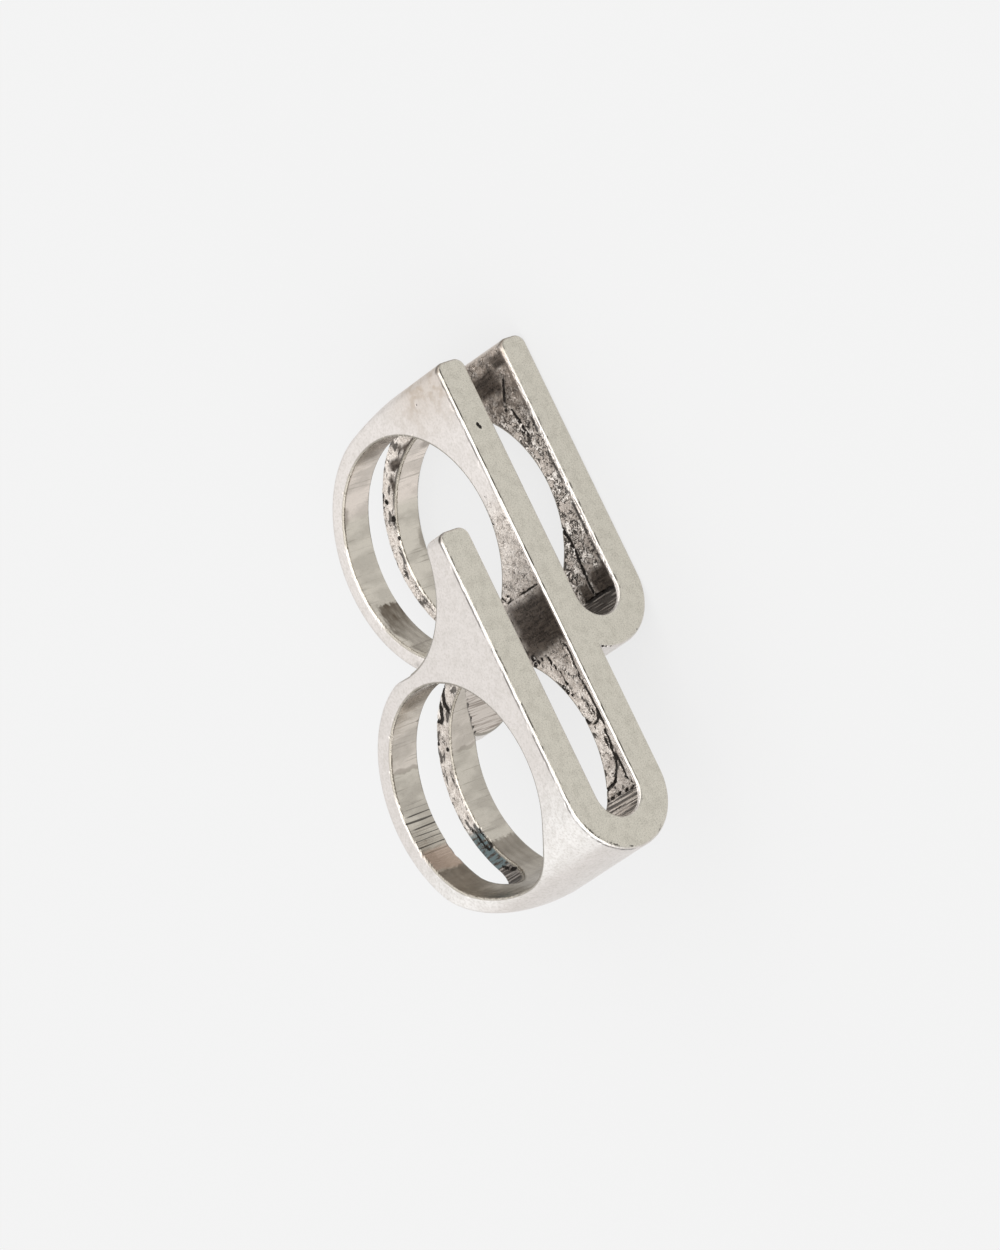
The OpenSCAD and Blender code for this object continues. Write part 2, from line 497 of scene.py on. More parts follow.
def makeField():  # signed distance in mm from the casting's surface, negative in the metal
    tree, size, result = newGroup("castingField", 'GeometryNodeTree',
                                  {"Point": "vector", "Chart": "geometry", "Relief": 0.0, **ringSizes},
                                  {"Field": "float", "Seed": "float", "Raw": "float", "Fold": "float",
                                   "Skin": "float", "Pit": "float", "Bore": "float", "Face": "float"})
    x, y, z = splitVector(tree, size["Point"])
    deep = -z
    half = size["Middle bar"] * 0.5
    rightSlope = (size["Right lean"] * math.radians(1)).math('TANGENT')
    leftSlope = (size["Left lean"] * math.radians(1)).math('TANGENT')
    rightIn = half + size["Right slot"] - deep * rightSlope
    rightOut = rightIn + size["Right bar"]
    leftIn = deep * leftSlope - half - size["Left slot"]
    leftOut = leftIn - size["Left bar"]
    isRight = y > half + meshing["wallSplit"]
    isLeft = y < -half - meshing["wallSplit"]

    def stadium(turn, low, high):  # a bar or slot with a round end past x = turn, endless towards the tips
        return distance(most(x - turn, 0.0), y - (low + high) * 0.5) - (high - low) * 0.5

    def lean(degrees, slope):
        return deep * ((degrees * math.radians(1)).math('TANGENT') + slope * 0.5)

    firstSlot = stadium(size["First turn"] + deep * rightSlope * 0.5, half, rightIn)
    secondSlot = stadium(size["Second slot turn"] + deep * leftSlope * 0.5, leftIn, -half)
    firstCap = stadium(size["First turn"] + lean(size["First flare"], rightSlope), -half, rightOut)
    secondCap = stadium(size["Second turn"] + lean(size["Second flare"], leftSlope), leftOut, half)
    tip = byWall(isRight, isLeft, size["Middle tip"], size["Right tip"], size["Left tip"])
    plan = least(most(firstCap, -firstSlot), most(secondCap, -secondSlot))
    plan = roundMeet(size["Tip corner"], plan, tip - x)

    def band(centre, radius, foot):
        return distance(x - centre, z - (radius - foot)) - radius

    def tipOutline(tip, centre, foot):  # straight down from the tip, then tangent to the first band
        radius = size["First band"]
        across = centre - tip
        down = radius - foot + size["Straight side"]
        turn = down.math('ARCTAN2', across) + (radius / distance(across, down)).math('ARCCOSINE')
        level = radius - foot
        line = -(x - centre) * turn.math('COSINE') - (z - level) * turn.math('SINE') - radius
        body = most(line, level - radius * turn.math('SINE') - z, x - bandsMeet - meshing["bandOverlap"])
        return least(body, band(centre, radius, foot))

    bandsMeet = (size["First centre"] + size["Second centre"]) * 0.5
    secondBand = band(size["Second centre"], size["Second band"], size["Height"])
    secondBody = most(bandsMeet - meshing["bodyOverlap"] - x, size["Second band"] - size["Height"] - z)
    middle = tipOutline(size["Middle tip"], size["First centre"], size["Height"])
    right = tipOutline(size["Right tip"], size["First centre"] - size["Right band shift"],
                       size["Height"] - size["Right band lift"])
    middle = least(middle, secondBand, secondBody)
    right = least(right, secondBand, secondBody)
    holeSide = size["First centre"] + size["First bore"] * 0.5
    left = least(most(secondBand, holeSide - x), -size["Hole depth"] - z)
    outline = byWall(isRight, isLeft, middle, right, left)

    level = z + size["Hole depth"]
    firstBore = size["First bore"] * 0.5 - distance(x - size["First centre"], level)
    secondBore = size["Second bore"] * 0.5 - distance(x - size["Second centre"], level)
    body = roundMeet(size["Edge round"], plan, outline, z)
    smooth = roundMeet(size["Bore edge round"], body, firstBore, secondBore)

    point = size["Point"]
    start = blend(ramp(deep, *rawSurface["startDown"]), *rawSurface["start"])
    ragged = noise(tree, point, rawSurface["startNoise"]) * rawSurface["startRagged"]
    started = ramp(x + ragged - start, *rawSurface["startSoft"])
    raw = most(ramp(firstSlot, *rawSurface["nearSlot"]), ramp(secondSlot, *rawSurface["nearSlot"]) * started)
    belowFace = ramp(deep, *rawSurface["belowFace"]) * raw
    shaken = splitVector(tree, warped(tree, point, *rawSurface["creaseWarp"]))
    onWall = joinVector(tree, shaken[0], -half + isRight * (half + rightIn), shaken[2])
    fold = Wire(tree, addNode(tree, 'GeometryNodeProximity', {0: size["Chart"], "Source Position": onWall},
                              target_element='EDGES').outputs["Distance"])
    fold = fold + (1.0 - raw)
    crease = ramp(fold, rawSurface["creaseWidth"], 0.0)
    pit = pitDepth(tree, point)
    hollow = most(pit, 0.0) * rawSurface["pitDepth"]
    skin = skinMask(tree, point)
    lumps, crevices, calm = castGrain(tree, point, skin)
    grain = noise(tree, point, rawSurface["grainScale"])
    bores = most(firstBore, secondBore)
    rough = (lumps - rawSurface["lumpMiddle"]) * -rawSurface["lumps"] + crevices * rawSurface["crevices"]
    rough = (rough + sway(grain, rawSurface["grain"])) * belowFace * calm
    rough = rough * ramp(bores, *rawSurface["fromBore"])
    relief = rough + crease * rawSurface["creaseDepth"] + hollow

    def near(name, *sides):
        return least(*[ramp(side, *meshing[name]) for side in sides])

    nearEdge = most(near("denseBore", body, bores), near("denseEdge", z, most(plan, outline)),
                    near("denseEdge", plan, outline))
    seed = noise(tree, point, meshing["seedScale"], 0.0) - 0.5  # keeps the first mesh dense
    seed = seed * most(belowFace, nearEdge, near("densePit", pit))
    results = {
        "Field": smooth + relief * size["Relief"],
        "Seed": smooth + seed * meshing["seedRelief"] + hollow,
        "Raw": raw,
        "Fold": least(fold, 1.0),
        "Skin": skin,
        "Pit": most(pit, -0.5),
        "Face": ramp(deep, *markEdges["faceReach"]),
        "Bore": ramp(bores, *markEdges["boreReach"]),
    }
    for label, value in results.items():
        feed(tree, result.inputs[label], value)
    return tree


def makeSlope(fieldGroup):  # the field at a point, and the way it grows there
    tree, size, result = newGroup("castingSlope", 'GeometryNodeTree',
                                  {"Point": "vector", "Chart": "geometry", "Relief": 0.0, **ringSizes},
                                  {"Field": "float", "Slope": "vector"})
    point = size["Point"]

    def fieldAt(place):
        return Wire(tree, useGroup(tree, fieldGroup, {**size, "Point": place}).outputs["Field"])

    step = meshing["step"]
    here = fieldAt(point)
    ways = ((step, 0, 0), (0, step, 0), (0, 0, step))
    ahead = [fieldAt(vectorNode(tree, 'ADD', point, way)) for way in ways]
    slope = joinVector(tree, *[(there - here) / step for there in ahead])
    feed(tree, result.inputs["Field"], here)
    feed(tree, result.inputs["Slope"], slope)
    return tree


def makeCastingTree():
    fieldGroup = makeField()
    slopeGroup = makeSlope(fieldGroup)
    tree, size, result = newGroup("ringCasting", 'GeometryNodeTree',
                                  {"Chart": "geometry", **ringSizes, "Material": "material"},
                                  {"Geometry": "geometry"})
    sizes = {label: size[label] for label in ("Chart", *ringSizes)}
    low, high, count = gridBox()
    here = addNode(tree, 'GeometryNodeInputPosition').outputs[0]
    sizes["Point"] = here
    field = Wire(tree, useGroup(tree, fieldGroup, sizes).outputs["Seed"])
    density = meshing["threshold"] - field * (meshing["softness"] / meshing["voxel"])
    density = least(most(density, 0.0), 1.0)
    volume = addNode(tree, 'GeometryNodeVolumeCube', {
        "Density": density, "Background": 0.0, "Min": low, "Max": high,
        "Resolution X": count[0], "Resolution Y": count[1], "Resolution Z": count[2]})
    shape = addNode(tree, 'GeometryNodeVolumeToMesh', {
        "Volume": volume.outputs[0], "Threshold": meshing["threshold"],
        "Adaptivity": meshing["adaptivity"]}).outputs[0]
    for again in range(meshing["passes"]):  # onto the true surface
        steep = useGroup(tree, slopeGroup, {**sizes, "Relief": 0.0}).outputs["Slope"]
        field = Wire(tree, useGroup(tree, fieldGroup, {**sizes, "Relief": 1.0}).outputs["Field"])
        square = Wire(tree, vectorNode(tree, 'DOT_PRODUCT', steep, steep, out=1))
        reach = field / most(square, meshing["leastSlope"])
        offset = vectorNode(tree, 'SCALE', steep)
        feed(tree, offset.node.inputs["Scale"], -reach)
        shape = addNode(tree, 'GeometryNodeSetPosition', {"Geometry": shape, "Offset": offset}).outputs[0]
    parts = useGroup(tree, fieldGroup, {**sizes, "Relief": 0.0})
    slope = useGroup(tree, slopeGroup, {**sizes, "Relief": 1.0})
    normal = vectorNode(tree, 'NORMALIZE', slope.outputs["Slope"])
    stored = {name.lower(): parts.outputs[name] for name in ("Raw", "Fold", "Skin", "Pit", "Bore", "Face")}
    stored["straight"] = normal
    for label, value in stored.items():
        kind = 'FLOAT_VECTOR' if label == "straight" else 'FLOAT'
        values = {"Geometry": shape, "Name": label, "Value": value}
        shape = addNode(tree, 'GeometryNodeStoreNamedAttribute', values,
                        data_type=kind, domain='POINT').outputs[0]
    straight = addNode(tree, 'GeometryNodeInputNamedAttribute', {"Name": "straight"},
                       data_type='FLOAT_VECTOR').outputs[0]
    turn, place = restPlace()

    def laidDown(vector):
        return addNode(tree, 'ShaderNodeVectorRotate', {"Vector": vector, "Rotation": turn},
                       rotation_type='EULER_XYZ').outputs[0]

    laid = vectorNode(tree, 'MULTIPLY', vectorNode(tree, 'ADD', laidDown(here), place), (mm, mm, mm))
    shape = addNode(tree, 'GeometryNodeSetPosition', {"Geometry": shape, "Position": laid}).outputs[0]
    shape = addNode(tree, 'GeometryNodeSetMeshNormal', {"Mesh": shape, "Custom Normal": laidDown(straight)},
                    mode='FREE', domain='POINT').outputs[0]
    shape = addNode(tree, 'GeometryNodeRealizeInstances', {"Geometry": shape}).outputs[0]
    shape = addNode(tree, 'GeometryNodeSetMaterial', {"Geometry": shape, "Material": size["Material"]})
    feed(tree, result.inputs["Geometry"], shape.outputs[0])
    return tree


def gridBox():  # the box around the casting, and how many grid points it has each way
    half = ringSizes["Middle bar"] / 2
    low = Vector((ringSizes["Right tip"], -half - ringSizes["Left slot"] - ringSizes["Left bar"],
                  -ringSizes["Height"]))
    high = Vector((ringSizes["Second centre"] + ringSizes["Second band"],
                   half + ringSizes["Right slot"] + ringSizes["Right bar"], 0))
    low = [value - meshing["margin"] for value in low]
    count = [math.ceil((high[i] + meshing["margin"] - low[i]) / meshing["voxel"]) + 1 for i in range(3)]
    return low, [low[i] + (count[i] - 1) * meshing["voxel"] for i in range(3)], count


def restPlace():  # how the casting lies on its right side inside the frame's box
    lie = math.radians(90 - ringSizes["Right lean"])
    outer = ringSizes["Middle bar"] / 2 + ringSizes["Right slot"] + ringSizes["Right bar"]
    place = (cadHigh.x / mm + ringSizes["Right tip"], cadLow.y / mm + outer * math.cos(lie),
             outer * math.sin(lie))
    return (-lie, 0, math.pi), place


def build(material):
    tree = makeCastingTree()
    ring = bpy.data.objects.new("ringCasting", makeChart())
    bpy.context.scene.collection.objects.link(ring)
    modifier = ring.modifiers.new("casting", 'NODES')
    modifier.node_group = tree
    given = {**ringSizes, "Material": material}
    for item in tree.interface.items_tree:
        if item.in_out == 'INPUT' and item.name in given:
            modifier[item.identifier] = given[item.name]
    graph = bpy.context.evaluated_depsgraph_get()
    done = bpy.data.meshes.new_from_object(ring.evaluated_get(graph))
    ring.modifiers.remove(modifier)
    ring.data = done
    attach(ring, "root")
    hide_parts("double_ring")
    return ring


# Colours of the casting, and how rough each finish is
finish = {
    "side": (0.765, 0.72, 0.69),
    "sideShade": (0.55, 0.515, 0.475),
    # painted reflection: the lighter side colour on the second turn
    "sideSheen": (0.86, 0.835, 0.81),
    "tip": (0.50, 0.42, 0.345),
    # the face colour is darker than the side colour: painted shade on the flat faces
    "face": (0.69, 0.655, 0.57),
    "faceShade": (0.42, 0.395, 0.335),
    "bore": (0.69, 0.645, 0.565),
    "boreLight": (0.84, 0.76, 0.69),
    "boreShade": (0.30, 0.275, 0.235),
    # the colour of the painted dark reflections in the holes and on the tip edges
    "darkReflection": (0.105, 0.080, 0.056),
    "rust": (0.62, 0.47, 0.38),
    "raw": (0.68, 0.62, 0.565),
    "rawLight": (0.88, 0.83, 0.78),
    "rawShade": (0.29, 0.245, 0.21),
    "tipRaw": (0.36, 0.305, 0.26),
    "crevice": (0.03, 0.026, 0.023),
    "skin": (0.05, 0.040, 0.034),
    "skinLight": (0.15, 0.125, 0.105),
    "teal": (0.13, 0.17, 0.175),
    "satin": 0.30,
    "polish": 0.20,
    "cast": 0.42,
}


# In the dictionaries below places are in mm. A pair says where a thing is nil and where it is whole, and a
# third number how strong it then is. Four numbers say where it starts, is whole, starts to fade and ends.
# A noise is its scale, detail and roughness. A pair of strengths is for the middle and the right wall.
common = {
    "ruled": (1.0, 3.0, 0.6),
    "ruledStretch": (6.0, 0.2, 6.0),
    "pepper": (3.6, 3.0, 0.75),
    "grit": (6.5, 2.0, 0.6),
    "leftWall": -4.0,
    "secondHole": 19.0,
}


fineGrain = {
    "fine": (3.0, 0.65),
    "wide": (3.0, 0.6),
    "speckle": (0.52, 0.75),
    "patches": (0.42, 0.66),
}


def makeGrainGroup():  # fine speckle of a blasted or worn surface
    tree, given, result = newGroup("fineGrain", 'ShaderNodeTree',
                                   {"Point": "vector", "Scale": 10.0, "Patch": 1.0},
                                   {"Speckle": "float", "Patches": "float", "Height": "float"})
    fine = noise(tree, given["Point"], given["Scale"], *fineGrain["fine"])
    wide = noise(tree, given["Point"], given["Patch"], *fineGrain["wide"])
    feed(tree, result.inputs["Speckle"], ramp(fine, *fineGrain["speckle"]))
    feed(tree, result.inputs["Patches"], ramp(wide, *fineGrain["patches"]))
    feed(tree, result.inputs["Height"], fine)
    return tree


class Surface:  # what the finishes read at each point of the casting
    def __init__(self, tree):
        self.tree = tree
        turn, place = restPlace()  # a half turn, so the same turn leads back
        where = addNode(tree, 'ShaderNodeTexCoord').outputs["Object"]
        self.point = addNode(tree, 'ShaderNodeMapping', {
            "Vector": where, "Scale": (1 / mm, 1 / mm, 1 / mm), "Rotation": turn,
            "Location": Euler(turn).to_matrix() @ -Vector(place)}).outputs[0]
        self.x, self.y, self.z = splitVector(tree, self.point)
        for name in ("raw", "fold", "skin", "pit", "bore", "face"):
            stored = addNode(tree, 'ShaderNodeAttribute', attribute_name=name)
            setattr(self, name, Wire(tree, stored.outputs["Fac"]))
        self.grainGroup = makeGrainGroup()
        self.speckle, self.patches, self.height = self.grain(sideWear)
        self.ruled = self.streaks(common["ruledStretch"], common["ruled"])
        self.pepper = self.noise(common["pepper"])
        self.grit = self.noise(common["grit"])
        self.onLeft = self.y < common["leftWall"]
        self.onRight = rightWall(self.y, self.z)
        self.pastFirst = self.x > common["secondHole"]
        self.toBore = least(self.boreGap("First"), self.boreGap("Second"))
        self.ends = slotEnds(tree, self.point)
        self.lumps, self.crevices, self.calm = castGrain(tree, self.point, self.skin)

    def noise(self, settings):
        return noise(self.tree, self.point, *settings)

    def streaks(self, sizes, settings):
        return noise(self.tree, stretched(self.tree, self.point, sizes), *settings)

    def grain(self, wear):
        values = {"Point": self.point, "Scale": wear["grainScale"], "Patch": wear["patchScale"]}
        node = useGroup(self.tree, self.grainGroup, values)
        return [Wire(self.tree, node.outputs[name]) for name in ("Speckle", "Patches", "Height")]

    def boreGap(self, name):  # how far outside a finger hole a point is
        across = self.x - ringSizes[name + " centre"]
        return distance(across, self.z + ringSizes["Hole depth"]) - ringSizes[name + " bore"] / 2

    def mix(self, amount, under, over):  # each colour by its name in finish, or as a socket
        node = addNode(self.tree, 'ShaderNodeMix', data_type='RGBA')
        feed(self.tree, node.inputs[0], amount)
        for place, colour in ((6, under), (7, over)):
            value = (*finish[colour], 1.0) if isinstance(colour, str) else colour
            feed(self.tree, node.inputs[place], value)
        return node.outputs[2]


sideWear = {
    "grainScale": 5.0,
    "patchScale": 1.1,
    "patches": 0.2,
    "grain": (0.38, 0.62, 0.3),
    "speckle": 0.5,
    "sheenAlong": (30.0, 35.0),
    "sheenAcross": (-6.0, -7.2),
    "tipAlong": (5.5, 0.0),
    "tipDown": (-8.5, -3.0),
    "tipLeast": 0.5,
}


def sideColour(at):  # the satin outer sides, browner by the tips, with a painted lighter reflection on the second turn
    shade = at.patches * sideWear["patches"] + fade(at.height, *sideWear["grain"])
    # painted lighter reflection where the side rounds the second turn
    sheen = ramp(at.x, *sideWear["sheenAlong"]) * ramp(at.y, *sideWear["sheenAcross"])
    atTip = ramp(at.x, *sideWear["tipAlong"]) * ramp(at.z, *sideWear["tipDown"])
    colour = at.mix(sheen, "side", "sideSheen")
    colour = at.mix(shade, colour, "sideShade")
    colour = at.mix(atTip * blend(at.patches, sideWear["tipLeast"], 1.0), colour, "tip")
    return at.mix(at.speckle * sideWear["speckle"], colour, "sideShade")


faceWear = {
    "grainScale": 9.0,
    "patchScale": 1.2,
    "patches": 0.24,
    "grain": (0.38, 0.62, 0.36),
    "speckle": 0.45,
}


def shadedFaceColour(at):  # the flat faces of the bars, in a colour darker than the sides that paints the shade on the face
    speckle, patches, height = at.grain(faceWear)
    shade = patches * faceWear["patches"] + fade(height, *faceWear["grain"])
    return at.mix(shade + speckle * faceWear["speckle"], "face", "faceShade")


edgeDarkReflection = {
    "bars": (-8.15, -1.35, 5.3),  # the edges seen from outside the bars, across them
    "besideBar": (0.32, 0.22),
    "turnMiddle": -3.4,
    "turnRadius": 4.7,
    "breakup": (1.0, 3.0, 0.7),
    "breakupStretch": (0.7, 2.0, 5.0),
    "breakupPatches": (0.35, 1.0),
    "breakupPatchy": 0.5,
    "edge": (-0.07, -0.04, -0.014, -0.004),
    "edgeBreakup": (0.50, 0.60),
    "edgeStrength": 0.8,
    "line": (-0.40, -0.30, -0.21, -0.15),
    "lineBreakup": (0.56, 0.44),
    "lineStrength": (0.35, 0.75),
    "rightTip": 2.5,
    "leftTip": -4.5,
    "tipAlong": (0.8, 0.5),
    "tipUp": (-0.55, -0.35),
    "tipStrength": 0.75,
}


def edgeColour(at, colour):  # painted dark reflections: broken lines beside the highlights on the rounded edges of the face, and the rounded edges at the tips
    wear = edgeDarkReflection
    beside = [ramp(awayFrom(at.y, bar), *wear["besideBar"]) for bar in wear["bars"]]
    fromTurn = distance(at.x - ringSizes["Second turn"], at.y - wear["turnMiddle"])
    beside.append(ramp(awayFrom(fromTurn, wear["turnRadius"]), *wear["besideBar"]) * at.onLeft)
    beside = most(*beside)
    breakup = at.streaks(wear["breakupStretch"], wear["breakup"])
    breakup = breakup + sway(at.noise(wear["breakupPatches"]), wear["breakupPatchy"])
    # painted dark reflection on the face side of each edge highlight, and a dulled band on its outer side
    edge = between(at.z, *wear["edge"]) * beside * ramp(breakup, *wear["edgeBreakup"]) * wear["edgeStrength"]
    below = between(at.z, *wear["line"]) * beside * (1.0 - at.raw)
    below = below * blend(ramp(breakup, *wear["lineBreakup"]), *wear["lineStrength"])
    # painted dark reflection on the rounded edges at the tips
    tipAt = byWall(at.y > wear["rightTip"], at.y < wear["leftTip"],
                   ringSizes["Middle tip"], ringSizes["Right tip"], ringSizes["Left tip"])
    tipEdge = ramp(at.x - tipAt, *wear["tipAlong"]) * ramp(at.z, *wear["tipUp"]) * (1.0 - at.face)
    colour = at.mix(tipEdge * wear["tipStrength"], colour, "darkReflection")
    return at.mix(most(edge, below), colour, "crevice")


boreWear = {
    "paleFirst": (5.9, 5.1),
    "paleSecond": (25.1, 24.7),
    "paleSecondStrength": 0.6,
    "clouds": (0.7, 3.0),
    "cloudStretch": (1.0, 0.5, 1.0),
    "cloudShade": (0.40, 0.62, 0.34),
    "speckle": 0.15,
    "secondShade": 0.14,
    "ruledShade": (0.56, 0.72, 0.6),
    "rustStart": (30.9, 31.3),
    "rustEnd": (33.3, 32.9),
    "rustRagged": 1.5,
    "rustDown": (-12.5, -14.5),
    "rustStrength": 0.6,
    "scoresStart": (27.2, 28.2),
    "scoresEnd": (31.6, 31.0),
    "scoreReach": (1.0, 1.0),
    "scoreStretch": (2.4, 0.15, 2.4),
    "scoreCount": 12.0,
    "scoreWaver": 6.0,
    "scoreRange": (0.80, 0.97),
    "scoreLength": 4.0,
    "scoresAcross": (-5.6, -4.9),
    "scoreStrength": 0.85,
}


def boreColour(at):  # the polished finger holes, with painted dark reflections, rust and a few scores in the second
    wear = boreWear
    pale = ramp(at.x, *wear["paleSecond"])
    pale = most(ramp(at.x, *wear["paleFirst"]), at.pastFirst * pale * wear["paleSecondStrength"])
    cloudy = at.streaks(wear["cloudStretch"], wear["clouds"])
    shade = fade(cloudy, *wear["cloudShade"]) + at.speckle * wear["speckle"]
    shade = shade + at.pastFirst * wear["secondShade"]
    rustEnd = at.x + sway(cloudy, wear["rustRagged"])
    rusty = ramp(at.x, *wear["rustStart"]) * ramp(rustEnd, *wear["rustEnd"]) * at.onLeft
    rusty = rusty * ramp(at.z, *wear["rustDown"])
    scored = ramp(at.x, *wear["scoresStart"]) * ramp(at.x, *wear["scoresEnd"]) * at.onLeft
    reach = at.streaks(wear["scoreStretch"], wear["scoreReach"])
    wave = (at.x * wear["scoreCount"] + reach * wear["scoreWaver"]).math('SINE')
    ended = ramp(at.y + reach * wear["scoreLength"], *wear["scoresAcross"])
    scores = ramp(wave, *wear["scoreRange"]) * scored * ended * wear["scoreStrength"]
    colour = at.mix(pale, "bore", "boreLight")
    colour = at.mix(shade, colour, "boreShade")
    colour = at.mix(fade(at.ruled, *wear["ruledShade"]), colour, "boreShade")
    colour = at.mix(rusty * wear["rustStrength"], colour, "rust")
    # painted dark reflections in the finger holes
    colour = at.mix(most(holeReflectionMask(at.tree, at.point), lowReflectionMask(at.tree, at.point)), colour, "darkReflection")
    return at.mix(scores, webColour(at, colour), "crevice")


webWear = {
    "along": (25.1, 24.8),
    "ridgeAcross": 0.9,
    "ridgeDown": 13.8,
    "ridgeSlope": 0.5,
    "beyondRidge": (0.0, 0.25),
    "ridgeMiddle": 0.1,
    "ridgeNoise": (2.2, 3.0),
    "ridgeRagged": 1.2,
    "ridgeRange": (0.16, 0.04),
    "ruledShade": (0.47, 0.60, 0.8),
}


def webColour(at, colour):  # the rough web beside the second finger hole, with a pitted ridge along it
    wear = webWear
    fromRidge = at.y + wear["ridgeAcross"] + (at.z + wear["ridgeDown"]) * wear["ridgeSlope"]
    inWeb = ramp(at.x, *wear["along"]) * at.pastFirst * ramp(fromRidge, *wear["beyondRidge"])
    ragged = sway(at.noise(wear["ridgeNoise"]), wear["ridgeRagged"])
    pitted = ramp(awayFrom(fromRidge, wear["ridgeMiddle"]) + ragged, *wear["ridgeRange"])
    web = at.mix(fade(at.ruled, *wear["ruledShade"]), "raw", "rawShade")
    return at.mix(inWeb, colour, at.mix(pitted, web, "crevice"))


paintedRimShade = {
    "outward": (0.005, 0.02, 0.14, 0.24),
    "height": (-18.95, -18.6, -1.6, -0.8),
    "strength": 0.88,
}


def rimShadeMask(at):  # painted shade on the rounded rim of each finger hole, which dulls its highlight except low in the hole
    return least(between(at.toBore, *paintedRimShade["outward"]), between(at.z, *paintedRimShade["height"]))


rawDirtAndShade = {
    "bandDown": (-10.5, -11.5),
    "nearBore": (0.5, 0.1),
    "blots": (1.5, 3.0, 0.7),
    "blotRange": (0.56, 0.63),
    "blotsByBore": 0.07,
    "blotStrength": 0.9,
    "cleanAlong": (18.0, 16.0),
    "clean": 0.7,
    "secondFrom": 19.5,
    "unrolled": (1.7, 6.5),
    "streakWarp": (0.8, 0.7),
    "streaks": (1.0, 3.0, 0.6),
    "streaksByBore": 0.05,
    "streaksOutside": (1.2, 1.5, 0.03),
    "streakStrength": 0.9,
    "groove": (-0.75, -0.5, -0.4, -0.3),
    "grooveNoise": (1.6, 3.0),
    "grooveRange": (0.42, 0.52),
    "grooveStrength": 0.85,
    "fleckRange": (0.585, 0.63),
    "fleckStrength": (0.5, 0.85),
    "flecksOnBand": 0.3,
    "crackle": (2.8, 3.0, 0.6),
    "crackleMiddle": 0.5,
    "crackleRange": (0.016, 0.004),
    "crackleEnd": 19.0,
    "crackleUp": (-9.0, -7.0),
    "crackleStrength": 0.7,
    "shadowOutward": (0.42, 0.25),
    "shadowAlong": (6.5, 5.0),
    "shadowStrength": 0.8,
}


def rawDark(at):  # everything that lies dark in the raw metal: its dirt and cracks, and painted shade along the rims of the finger holes
    dirt = rawDirtAndShade
    onMiddle = at.y < 0.0
    onBand = ramp(at.z, *dirt["bandDown"])
    nearBore = ramp(at.toBore, *dirt["nearBore"])
    # blots and streaks are dirt; their darkening near the finger-hole rims is painted shade
    blots = ramp(at.noise(dirt["blots"]) + nearBore * dirt["blotsByBore"], *dirt["blotRange"])
    blots = blots * (1.0 - onBand) * (1.0 - ramp(at.x, *dirt["cleanAlong"]) * onMiddle * dirt["clean"])
    across = at.x - blend(at.x > dirt["secondFrom"], ringSizes["First centre"], ringSizes["Second centre"])
    turned = (at.z + ringSizes["Hole depth"]).math('ARCTAN2', across)
    outward, around = dirt["unrolled"]
    unrolled = joinVector(at.tree, at.toBore * outward, at.y, turned * around)
    streaks = noise(at.tree, warped(at.tree, unrolled, *dirt["streakWarp"]), *dirt["streaks"])
    streaks = streaks + nearBore * dirt["streaksByBore"] + fade(at.toBore, *dirt["streaksOutside"])
    streaks = ramp(streaks, *dirt["blotRange"]) * onBand * dirt["streakStrength"]
    groove = between(at.z, *dirt["groove"]) * ramp(at.noise(dirt["grooveNoise"]), *dirt["grooveRange"])
    fleckStrength = blend(at.onRight, *dirt["fleckStrength"]) - onBand * dirt["flecksOnBand"]
    flecks = ramp(at.pepper, *dirt["fleckRange"]) * fleckStrength
    crackle = awayFrom(at.noise(dirt["crackle"]), dirt["crackleMiddle"])
    crackle = ramp(crackle, *dirt["crackleRange"]) * onMiddle
    crackle = crackle * (at.x < dirt["crackleEnd"]) * ramp(at.z, *dirt["crackleUp"]) * dirt["crackleStrength"]
    # painted shadow along the rim of the first finger hole, low on its band by the tip
    shadow = ramp(at.toBore, *dirt["shadowOutward"]) * ramp(at.x, *dirt["shadowAlong"]) * onBand
    return most(at.crevices, flecks, most(blots, streaks) * dirt["blotStrength"],
                groove * at.onRight * dirt["grooveStrength"], crackle, shadow * dirt["shadowStrength"])


rawTone = {
    "fromFace": (-0.2, -0.34),
    "lightLumps": (0.51, 0.62),
    "lightLumpStrength": (0.3, 1.0),
    "lightPepper": (0.46, 0.36),
    "lightPepperStrength": (0.5, 0.8),
    "whiteLump": (21.7, -17.1),
    "whiteLumpReach": (0.45, 0.2),
    "lowLumps": (0.50, 0.38),
    "grime": (0.20, 0.48),
    "grimeFrom": 22.0,
    "grimeMore": 0.2,
    "grit": (0.50, 0.62, 0.5),
    "patchy": (1.6, 2.0),
    "tipAlong": (6.2, 3.8),
    "tipRagged": 4.0,
    "tipDown": (-11.0, -8.0),
    "tipRange": (0.42, 0.58),
    "tipStrength": 0.72,
    "endLumps": (0.60, 0.44, 0.85),
    "endOnRight": 0.5,
    "endLow": -10.0,
    "endLowShade": 0.6,
}


